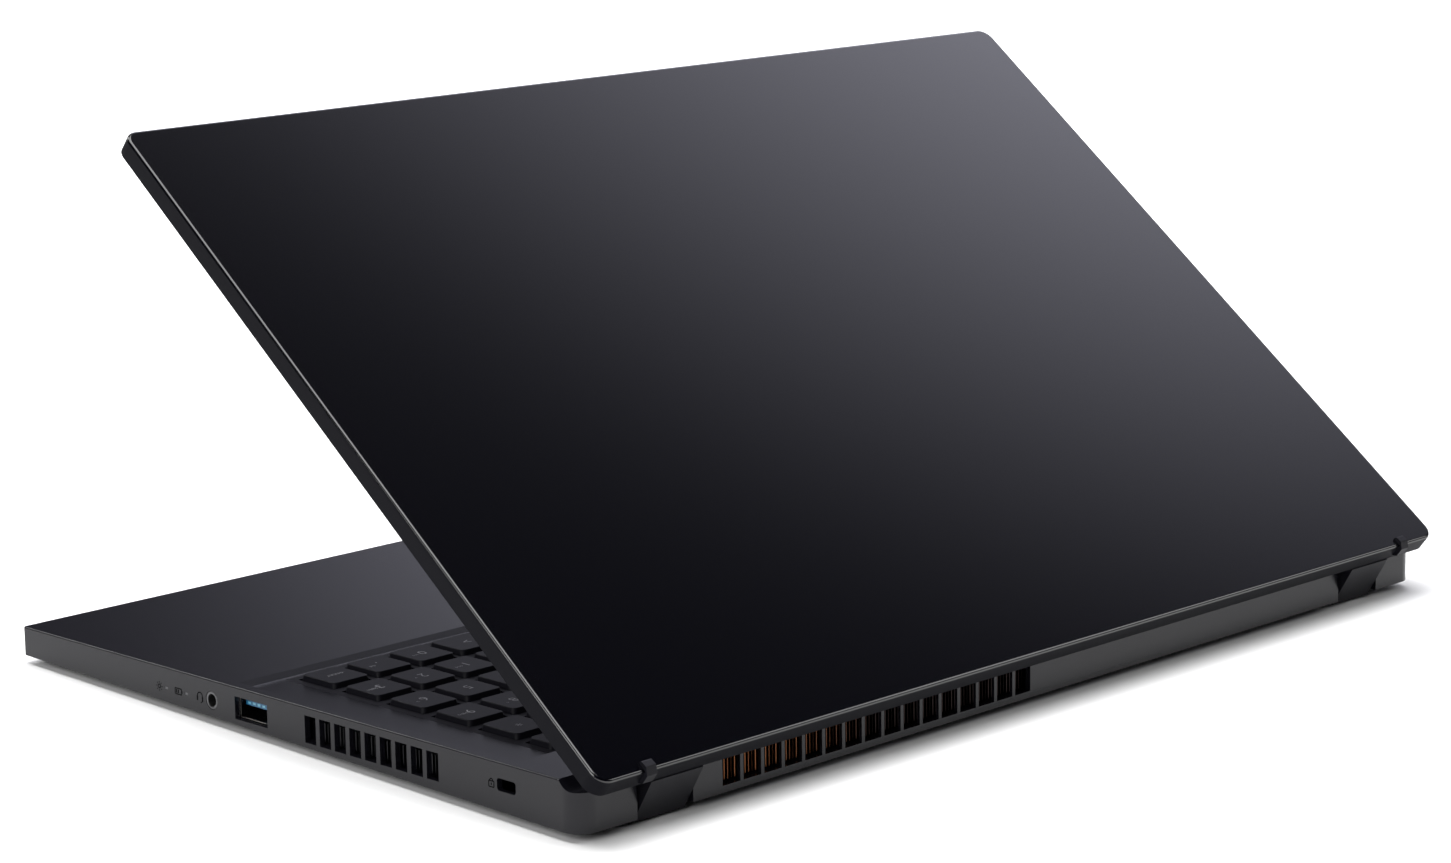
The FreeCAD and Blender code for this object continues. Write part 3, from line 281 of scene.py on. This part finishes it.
# Key legends: pale grey letters, numerals and arrows in the middle of the caps.
# A thin print that sits on the cap and sinks with it; sizes are in millimetres on the deck.
legend_ink = grained_plastic("grey legend ink", (0.2, 0.2, 0.21), rough=0.6, grain_per_mm=3.0,
                             grain_height=0.000004, speckle=0.05)
main_left, main_pitch, main_gap = -161.4, 18.57, 2.8
pad_left, pad_pitch, pad_gap = 116.6, 15.8, 2.6
row_front, row_pitch, key_deep, top_key_deep = -15.0, 18.8, 15.0, 9.6
print_height = 0.215
glyph_size, word_size, second_size = 4.9, 2.7, 1.9
second_side, second_back = 3.1, 1.0
row_groups = ["modifier_keys", "lower_letter_keys", "home_letter_keys", "upper_letter_keys", "number_keys",
              "function_keys"]
top_row = len(row_groups) - 1
numeral_rows = 4
main_rows = [
    [("ctrl", 1.25), ("fn", 1), ("", 1), ("alt", 1.25), ("", 5.5), ("alt", 1), ("ctrl", 1),
     ("<", 1), ("v", 1), (">", 1)],
    [("shift", 1.75)] + [(c, 1) for c in "ZXCVBNM,./"] + [("shift", 1.25), ("^", 1), ("end", 1)],
    [("caps", 1.75)] + [(c, 1) for c in "ASDFGHJKL;'"] + [("enter", 2.25)],
    [("tab", 1.5)] + [(c, 1) for c in "QWERTYUIOP[]"] + [("\\", 1.5)],
    [(c, 1) for c in "`1234567890-="] + [("back", 2)],
    [("esc", 1)] + [("F%d" % n, 1) for n in range(1, 13)] + [("prt", 1), ("del", 1)],
]
own_group = {(0, 4): "space_bar", (0, 7): "arrow_keys", (0, 8): "arrow_keys", (0, 9): "arrow_keys",
             (1, 12): "arrow_keys", (2, 12): "enter_key", (4, 13): "backspace_key"}
pad_rows = [["0", ".", "enter"], ["1", "2", "3"], ["4", "5", "6"], ["7", "8", "9"], ["num", "/", "*"],
            ["-", "+"]]
second_words = {"0": "ins", ".": "del", "1": "end", "2": "v", "3": "pgdn", "4": "<", "6": ">", "7": "home",
                "8": "^", "9": "pgup"}


def row_middle(row):
    return row_front + row * row_pitch + (top_key_deep if row == top_row else key_deep) / 2


def legend_size(label, row):
    return glyph_size if len(label) == 1 and row < top_row else word_size


def flat_text(label, size):
    text = bpy.data.curves.new("mark", "FONT")
    text.body = label
    text.size = size
    text.align_x = "CENTER"
    text.align_y = "CENTER"
    text.resolution_u = 2
    holder = stand("mark", text)
    look = bpy.context.evaluated_depsgraph_get()
    flat = bpy.data.meshes.new_from_object(holder.evaluated_get(look))
    bpy.data.objects.remove(holder)
    return flat


def deck_piece(name, places, faces, *materials):
    mesh = bpy.data.meshes.new(name)
    mesh.from_pydata([tuple(c * millimetre for c in place) for place in places], [], faces)
    mesh.transform(deck_place)
    for material in materials:
        mesh.materials.append(material)
    return stand(name, mesh)


marks = {}
for row, labels in enumerate(main_rows):
    unit = 0
    for order, (label, wide) in enumerate(labels):
        centre = main_left + (unit + wide / 2) * main_pitch - main_gap / 2
        unit += wide
        group = own_group.get((row, order), row_groups[row])
        if label:
            legend = (label, centre, row_middle(row), legend_size(label, row))
            marks.setdefault(group, []).append(legend)
for row, labels in enumerate(pad_rows):
    group = "number_pad_keys" if row < top_row else "function_keys"
    for column, label in enumerate(labels):
        centre = pad_left + (column + 0.5) * pad_pitch - pad_gap / 2
        legend = (label, centre, row_middle(row), legend_size(label, row))
        marks.setdefault(group, []).append(legend)
        if row < numeral_rows and label in second_words:
            second = (second_words[label], centre + second_side, row_middle(row) + second_back, second_size)
            marks[group].append(second)
for group, words in marks.items():
    places = []
    faces = []
    for label, x, y, size in words:
        flat = flat_text(label, size)
        start = len(places)
        places += [(x + v.co.x, y + v.co.y, print_height) for v in flat.vertices]
        faces += [tuple(start + n for n in face.vertices) for face in flat.polygons]
        bpy.data.meshes.remove(flat)
    legends = deck_piece(group + "_legends", places, faces, legend_ink)
    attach(legends, group)

# Wall marks: small pictograms beside the status lights, the audio socket and the lock slot.
# Dark laser marks on the right wall: a lamp, a battery, a headset and a padlock.
# Each is drawn round its own middle in millimetres, along the wall and up it.
mark_ink = grained_plastic("dark wall mark", (0.002, 0.002, 0.0024), rough=0.7, grain_per_mm=3.0,
                           grain_height=0.000004, speckle=0.05, shine=0.03)
wall_face, ink_lift = 181.15, 0.02
stroke = 0.32


def bar(start, end, wide=stroke):
    along = Vector(end) - Vector(start)
    side = Vector((-along.y, along.x)).normalized() * wide / 2
    return [Vector(start) - side, Vector(end) - side, Vector(end) + side, Vector(start) + side]


def arc(centre, radius, first, last, steps):
    turns = [math.radians(first + (last - first) * n / steps) for n in range(steps + 1)]
    ends = [(centre[0] + radius * math.cos(a), centre[1] + radius * math.sin(a)) for a in turns]
    return [bar(ends[n], ends[n + 1]) for n in range(steps)]


def frame_of(low, high):
    corners = [low, (high[0], low[1]), high, (low[0], high[1])]
    return [bar(corners[n], corners[(n + 1) % 4]) for n in range(4)]


bulb_radius, ray_start, ray_end, ray_wide, ray_turn = 0.55, 0.95, 1.45, 0.26, 45
lamp_mark = arc((0, 0), bulb_radius, 0, 360, 12)
for turn in range(0, 360, ray_turn):
    way = Vector((math.cos(math.radians(turn)), math.sin(math.radians(turn))))
    lamp_mark.append(bar(way * ray_start, way * ray_end, ray_wide))
cell_left, cell_right, cell_half, cap_end, cap_wide = -1.6, 1.35, 0.85, 1.75, 0.8
charge_half, charge_wide, charge_places = 0.5, 0.5, (-0.95, -0.1)
battery_mark = frame_of((cell_left, -cell_half), (cell_right, cell_half))
battery_mark.append(bar((cell_right, 0), (cap_end, 0), cap_wide))
battery_mark += [bar((x, -charge_half), (x, charge_half), charge_wide) for x in charge_places]
band_radius, band_foot, cup_top, cup_foot, cup_wide, talk_end = 1.15, 0.2, 0.3, -1.1, 0.6, (0.3, -1.65)
headset_mark = arc((0, band_foot), band_radius, 0, 180, 10)
headset_mark += [bar((x, cup_top), (x, cup_foot), cup_wide) for x in (-band_radius, band_radius)]
headset_mark.append(bar((band_radius, cup_foot), talk_end))
lock_half, lock_foot, lock_top, bow_radius = 1.0, -1.5, 0.1, 0.65
keyhole_foot, keyhole_top, keyhole_wide = -1.0, -0.4, 0.4
padlock_mark = frame_of((-lock_half, lock_foot), (lock_half, lock_top))
padlock_mark += arc((0, lock_top), bow_radius, 0, 180, 8)
padlock_mark.append(bar((0, keyhole_foot), (0, keyhole_top), keyhole_wide))
mark_places = [(lamp_mark, -53.8, -6.1), (battery_mark, -44.9, -6.1), (headset_mark, -35.1, -5.9),
               (padlock_mark, 87.0, -5.7)]
places = []
faces = []
for mark, y, z in mark_places:
    for corners in mark:
        faces.append(tuple(range(len(places), len(places) + 4)))
        places += [(wall_face + ink_lift, y + c[0], z + c[1]) for c in corners]
wall_marks = deck_piece("wall_marks", places, faces, mark_ink)
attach(wall_marks, "base")

# Audio socket ring: a turned, bright metal rim pressed into the round socket.
# Flat ring between the bore and the nose, with a rounded outer lip.
ring_steel = rolled_metal("turned rim", (0.11, 0.11, 0.115), rough=0.3)
ring_y, ring_z, ring_face = -29.7, -5.9, 181.06
bore_radius, crest_radius, lip_radius, rim_radius = 1.82, 2.05, 2.35, 2.5
bore_deep, crest_lift, lip_lift, rim_drop = 1.2, 0.08, 0.05, 0.15
ring_steps = 48
profile = [(bore_radius, ring_face - bore_deep), (bore_radius, ring_face),
           (crest_radius, ring_face + crest_lift), (lip_radius, ring_face + lip_lift),
           (rim_radius, ring_face - rim_drop)]
places = []
faces = []
for n in range(ring_steps):
    turn = 2 * math.pi * n / ring_steps
    for radius, x in profile:
        places.append((x, ring_y + radius * math.cos(turn), ring_z + radius * math.sin(turn)))
count = len(profile)
for n in range(ring_steps):
    after = (n + 1) % ring_steps
    for k in range(count - 1):
        faces.append((n * count + k, n * count + k + 1, after * count + k + 1, after * count + k))
audio_ring = deck_piece("audio_ring", places, faces, ring_steel)
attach(audio_ring, "base")

# Fast socket trim: the folded bright edge of the steel shell and five sprung contacts.
# The edge is bare cut steel; the contacts are plated strips on the end of the blue tongue.
cut_steel = rolled_metal("cut shell edge", (0.75, 0.73, 0.68), rough=0.3)
plated = grained_plastic("plated contact", (0.15, 0.42, 0.55), rough=0.3, grain_per_mm=2.0,
                         grain_height=0.000004, speckle=0.05)
shell_front, shell_low, shell_high = 179.27, (-19.05, -8.95), (-5.35, -3.05)
tongue_front, tongue_middle = 178.27, -12.2
contacts, contact_pitch, contact_wide, contact_low, contact_high = 5, 2.1, 1.2, -5.0, -4.3
patches = [(shell_front, corners, 0) for corners in frame_of(shell_low, shell_high)]
for n in range(contacts):
    middle = tongue_middle + (n - (contacts - 1) / 2) * contact_pitch
    strip = bar((middle, contact_low), (middle, contact_high), contact_wide)
    patches.append((tongue_front, strip, 1))
places = []
faces = []
for x, corners, _ in patches:
    faces.append(tuple(range(len(places), len(places) + 4)))
    places += [(x, c[0], c[1]) for c in corners]
socket_trim = deck_piece("socket_trim", places, faces, cut_steel, plated)
for face, (_, _, finish) in zip(socket_trim.data.polygons, patches):
    face.material_index = finish
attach(socket_trim, "base")

# Hinge covers, edge tabs, screen bezel and camera housing: black moulded trim.
# Clipped to the lid, and turns with it.
trim_black = (0.0042, 0.0041, 0.0065)
trim_plastic = grained_plastic("black trim plastic", trim_black, rough=0.45, grain_per_mm=3.0,
                               grain_height=0.00001, shine=0.16)
dress(trim_plastic, "hinge_cover_right", "hinge_cover_left", "lid_edge_tabs", "lid_bezel", "camera_module")

# Lid back cover: one moulded shell with a smooth satin black coat on its broad face.
# The narrow sides keep the bare, matt moulding; the coat has only a very fine grain.
coat_colour, side_colour = (0.0008, 0.0008, 0.0019), (0.006, 0.006, 0.008)
coat_rough, side_rough = 0.13, 0.4
coat_shine, side_shine = 0.62, 0.03
coat_start, coat_full = 0.1, 0.5
lid_open = math.radians(38.6)
lid_tilt = lid_open - deck_lean


def vector_math(tree, operation, source, other=(0, 0, 0)):
    made = tree.nodes.new("ShaderNodeVectorMath")
    made.operation = operation
    made.inputs[1].default_value = other
    tree.links.new(source, made.inputs[0])
    return made.outputs["Value" if operation in ("LENGTH", "DOT_PRODUCT") else "Vector"]


lid_coat = grained_plastic("satin black lid coat", coat_colour, rough=coat_rough, grain_per_mm=5.0,
                           grain_height=0.000002, speckle=0.05)
tree = lid_coat.node_tree
shader = tree.nodes["Principled BSDF"]
facing = tree.nodes.new("ShaderNodeTexCoord")
outward = (0, math.sin(lid_tilt), math.cos(lid_tilt))
broad = vector_math(tree, "DOT_PRODUCT", facing.outputs["Normal"], outward)
for socket, on_side, on_face in (("Roughness", side_rough, coat_rough),
                                 ("Specular IOR Level", side_shine, coat_shine)):
    tree.links.new(ramp(tree, broad, coat_start, coat_full, on_side, on_face), shader.inputs[socket])
coated = ramp(tree, broad, coat_start, coat_full, shape="LINEAR")
coat_paint = shader.inputs["Base Color"].links[0].from_socket
tree.links.new(mix_colours(tree, coated, side_colour, coat_paint), shader.inputs["Base Color"])
dress(lid_coat, "lid_back_cover")

# Screen: a matt liquid-crystal panel, switched off.
# Glass with an anti-glare film, held in the lid behind the bezel.
screen_face = grained_plastic("anti-glare screen", (0.006, 0.006, 0.007), rough=0.3, grain_per_mm=6.0,
                              grain_height=0.000004)
dress(screen_face, "display_panel")

# Studio floor: pale and matt, and it keeps the part's shadow next to the part.
# It glows for camera and mirror rays only, a painted light that rises within 2 cm of the part's outline and
# cuts the shadow short to a narrow band; further away it runs into the white backdrop.
floor_half, floor_white = 6, 0.9
shadow_half = (0.18, 0.118, 0)
near_start, near_full, near_glow = 0.001, 0.02, 0.34
far_start, far_full, far_glow = 0.3, 1.1, 0.5


def number_math(tree, operation, first, second):
    made = tree.nodes.new("ShaderNodeMath")
    made.operation = operation
    tree.links.new(first, made.inputs[0])
    tree.links.new(second, made.inputs[1])
    return made.outputs["Value"]


floor_mesh = bpy.data.meshes.new("studio_floor")
floor_corners = [(x * floor_half, y * floor_half, 0) for x, y in ((-1, -1), (1, -1), (1, 1), (-1, 1))]
floor_mesh.from_pydata(floor_corners, [], [(0, 1, 2, 3)])
floor = stand("studio_floor", floor_mesh)
floor_paint = bpy.data.materials.new("pale floor")
floor_paint.use_nodes = True
tree = floor_paint.node_tree
matt = tree.nodes["Principled BSDF"]
matt.inputs["Base Color"].default_value = (floor_white, floor_white, floor_white, 1)
matt.inputs["Roughness"].default_value = 0.9
rays = tree.nodes.new("ShaderNodeLightPath")
seen = number_math(tree, "MAXIMUM", rays.outputs["Is Camera Ray"], rays.outputs["Is Glossy Ray"])
seen = number_math(tree, "MAXIMUM", seen, rays.outputs["Is Transmission Ray"])
spot = tree.nodes.new("ShaderNodeTexCoord")
outside = vector_math(tree, "ABSOLUTE", spot.outputs["Object"])
outside = vector_math(tree, "SUBTRACT", outside, shadow_half)
outside = vector_math(tree, "MAXIMUM", outside)
from_part = vector_math(tree, "LENGTH", outside)
from_middle = vector_math(tree, "LENGTH", spot.outputs["Object"])
# Painted light: the near glow follows the part's outline and narrows its shadow.
level = number_math(tree, "ADD", ramp(tree, from_part, near_start, near_full, 0.0, near_glow),
                    ramp(tree, from_middle, far_start, far_full, 0.0, far_glow))
glow = tree.nodes.new("ShaderNodeEmission")
tree.links.new(number_math(tree, "MULTIPLY", seen, level), glow.inputs["Strength"])
both = tree.nodes.new("ShaderNodeAddShader")
tree.links.new(matt.outputs["BSDF"], both.inputs[0])
tree.links.new(glow.outputs["Emission"], both.inputs[1])
tree.links.new(both.outputs["Shader"], tree.nodes["Material Output"].inputs["Surface"])
floor_mesh.materials.append(floor_paint)

# Studio surround: dark above, white below the horizon, with two soft-edged bright panels.
# The high panel gives the lid its sheen, and the low one lights the far end of the deck.
sky_tint = (0.96, 0.96, 1.12, 1)
horizon_start, horizon_end = -0.05, 0.0
panel_way, panel_start, panel_full, panel_light = (-0.82, -0.45, 0.35), 0.795, 0.96, 3.5
panel_foot, panel_body = 0.45, 0.62
low_way, low_start, low_full, low_light = (-0.9, -0.43, -0.1), 0.85, 0.89, 0.85
world = bpy.data.worlds.new("studio")
bpy.context.scene.world = world
world.use_nodes = True
tree = world.node_tree
sky = tree.nodes["Background"]
sky.inputs["Color"].default_value = sky_tint
way = tree.nodes.new("ShaderNodeTexCoord")
split = tree.nodes.new("ShaderNodeSeparateXYZ")
tree.links.new(way.outputs["Generated"], split.inputs["Vector"])


def nearness(direction):
    return vector_math(tree, "DOT_PRODUCT", way.outputs["Generated"], Vector(direction).normalized())


below = ramp(tree, split.outputs["Z"], horizon_start, horizon_end, 1.0, 0.0)
panel = ramp(tree, nearness(panel_way), panel_start, panel_full, 0.0, panel_light)
panel = number_math(tree, "MULTIPLY", panel, ramp(tree, split.outputs["Z"], panel_foot, panel_body))
low_panel = ramp(tree, nearness(low_way), low_start, low_full, 0.0, low_light)
light = number_math(tree, "ADD", number_math(tree, "ADD", below, panel), low_panel)
tree.links.new(light, sky.inputs["Strength"])

# Studio lamps: four soft rectangles, each turned to the place that it lights.
# The top one is the main light; the others lift the right wall, the hinge edge and the deck.
def soft_lamp(name, place, target, size, watts):
    data = bpy.data.lights.new(name, "AREA")
    data.shape = "RECTANGLE"
    data.size, data.size_y = size
    data.energy = watts
    lamp = stand(name, data)
    lamp.location = place
    lamp.rotation_euler = (Vector(target) - Vector(place)).to_track_quat("-Z", "Y").to_euler()


soft_lamp("top lamp", place=(0.05, 0.0, 2.3), target=(0, 0, 0), size=(2.0, 2.0), watts=66)
soft_lamp("right wall lamp", place=(1.5, 0.35, 0.75), target=(0.18, 0.05, 0.0), size=(1.0, 0.8), watts=15)
soft_lamp("hinge edge lamp", place=(-1.4, 1.1, 1.0), target=(0, 0.1, 0.02), size=(0.9, 0.9), watts=8)
soft_lamp("front lamp", place=(0.4, -1.5, 1.25), target=(0, -0.05, 0.0), size=(0.6, 0.6), watts=11)

# Camera: a long lens at the photograph's place, behind the right rear corner.
# Its place, turn and focal length were solved from the straight edges of the lid and base.
sensor_width, photo_width, focal_pixels = 36.0, 1451, 3762.69
tilt, roll, heading = math.radians(77.6611), math.radians(0.0183), math.radians(134.7743)
camera_data = bpy.data.cameras.new("camera")
camera_data.sensor_width = sensor_width
camera_data.lens = sensor_width * focal_pixels / photo_width
camera_data.shift_x = -0.00044
camera_data.shift_y = -0.00325
camera = stand("camera", camera_data)
camera.location = (0.795, 0.77681, 0.30544)
camera.rotation_euler = (tilt, roll, heading)
bpy.context.scene.camera = camera
bpy.context.scene.view_settings.view_transform = "Standard"
